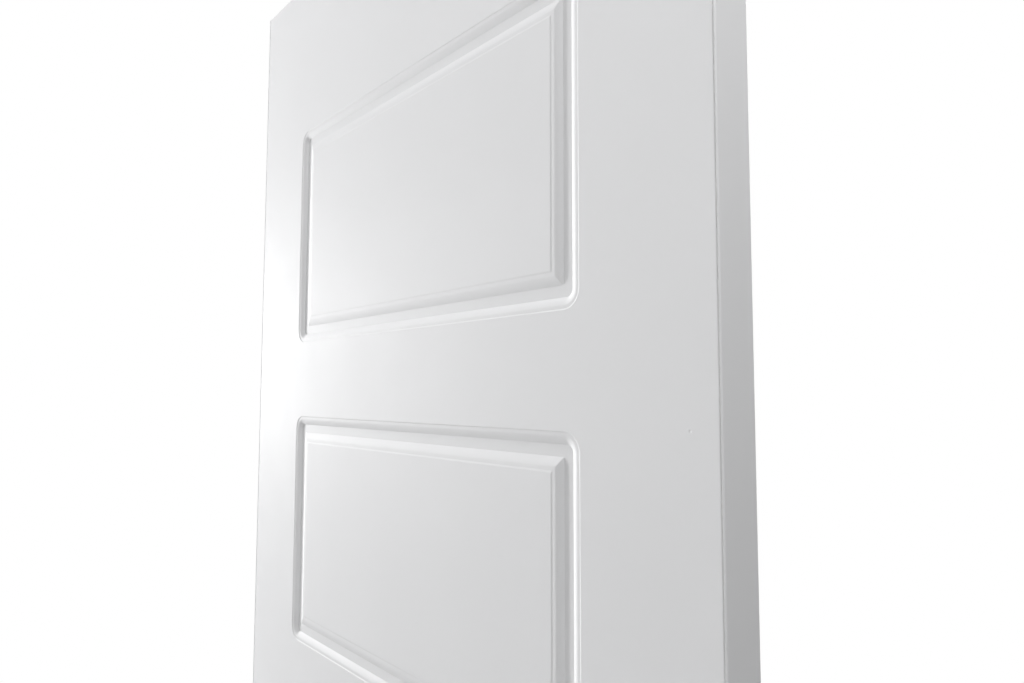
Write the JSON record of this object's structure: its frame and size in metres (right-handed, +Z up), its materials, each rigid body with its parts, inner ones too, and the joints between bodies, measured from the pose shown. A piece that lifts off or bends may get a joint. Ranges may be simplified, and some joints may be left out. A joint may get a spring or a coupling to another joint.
{
  "type": "five-panel interior door leaf",
  "caption": "Flush-edged interior door leaf with moulded skins, raised horizontal panels and a satin white paint finish.",
  "frame": {"origin": "on the hinge edge's flat face, at mid-thickness and at the leaf's bottom", "axes": "+X across the leaf from the hinge edge to the lock edge, +Y through its thickness from the pictured face to the other, +Z up"},
  "size_m": [0.711, 0.035, 2.032],
  "materials": {
    "skin_paint": "satin white paint on pressed fibreboard",
    "edge_paint": "satin white paint on a glued timber lipping",
    "frame_timber": "sawn unpainted softwood"
  },
  "bodies": {
    "root": {"front_skin": "skin_paint", "back_skin": "skin_paint", "hinge_stile": "frame_timber", "lock_stile": "frame_timber", "top_rail": "frame_timber", "bottom_rail": "frame_timber", "hinge_edge_lipping": "edge_paint", "lock_edge_lipping": "edge_paint"}
  },
  "joints": []
}
